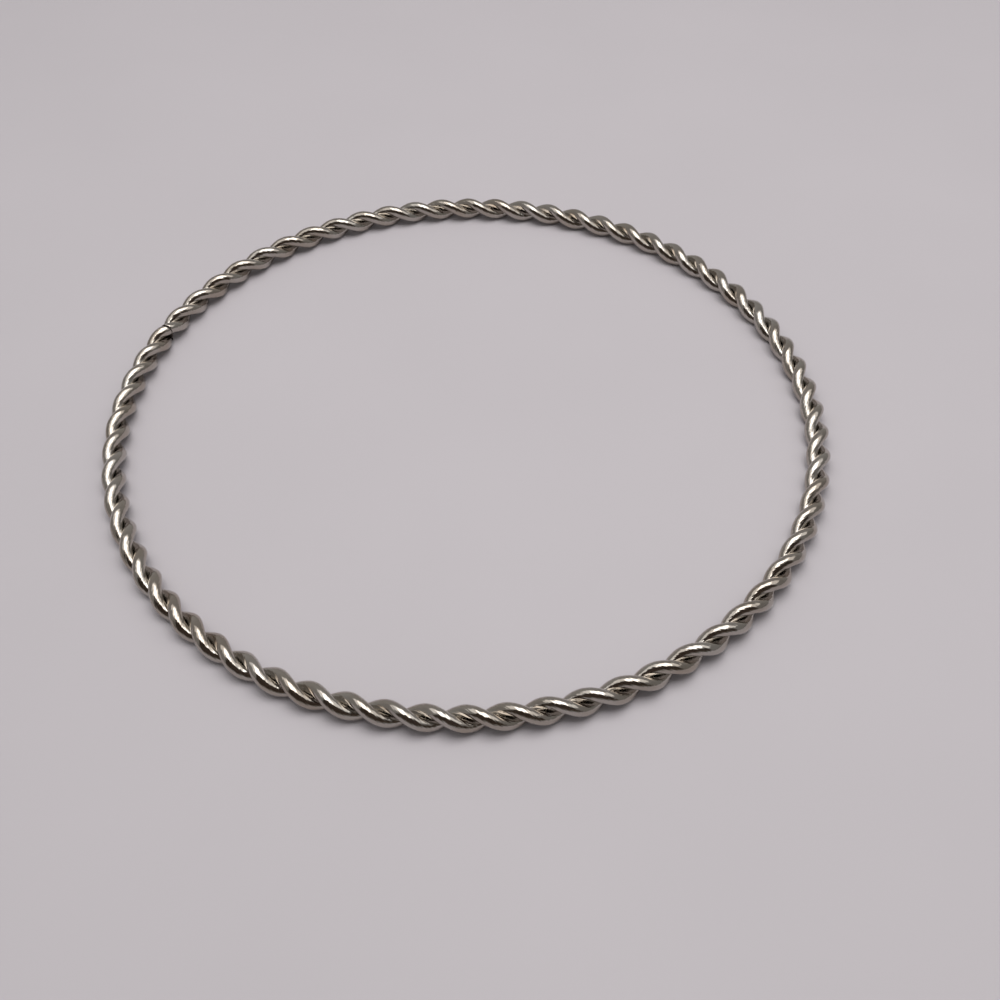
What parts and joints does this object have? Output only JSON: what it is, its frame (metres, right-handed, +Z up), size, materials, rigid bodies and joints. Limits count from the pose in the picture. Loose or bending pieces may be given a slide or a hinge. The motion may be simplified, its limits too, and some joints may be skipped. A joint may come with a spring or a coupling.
{
  "type": "twisted wire bangle",
  "caption": "Thin rigid bangle: polished round wires twisted into a rope, bent into a closed ring and soldered end to end.",
  "frame": {"origin": "middle of the ring, at the height of the surface it lies on", "axes": "+Z up, square to the ring's plane; +X and +Y in that plane, with the soldered joint 157 degrees from +X towards +Y"},
  "size_m": [0.0694, 0.0694, 0.0022],
  "materials": {
    "plated_wire": "bright nickel plate on drawn brass wire",
    "solder": "dull solder, darkened in the seam"
  },
  "bodies": {
    "root": {"strand_a": "plated_wire", "strand_b": "plated_wire", "solder_joint": "solder"}
  },
  "joints": []
}
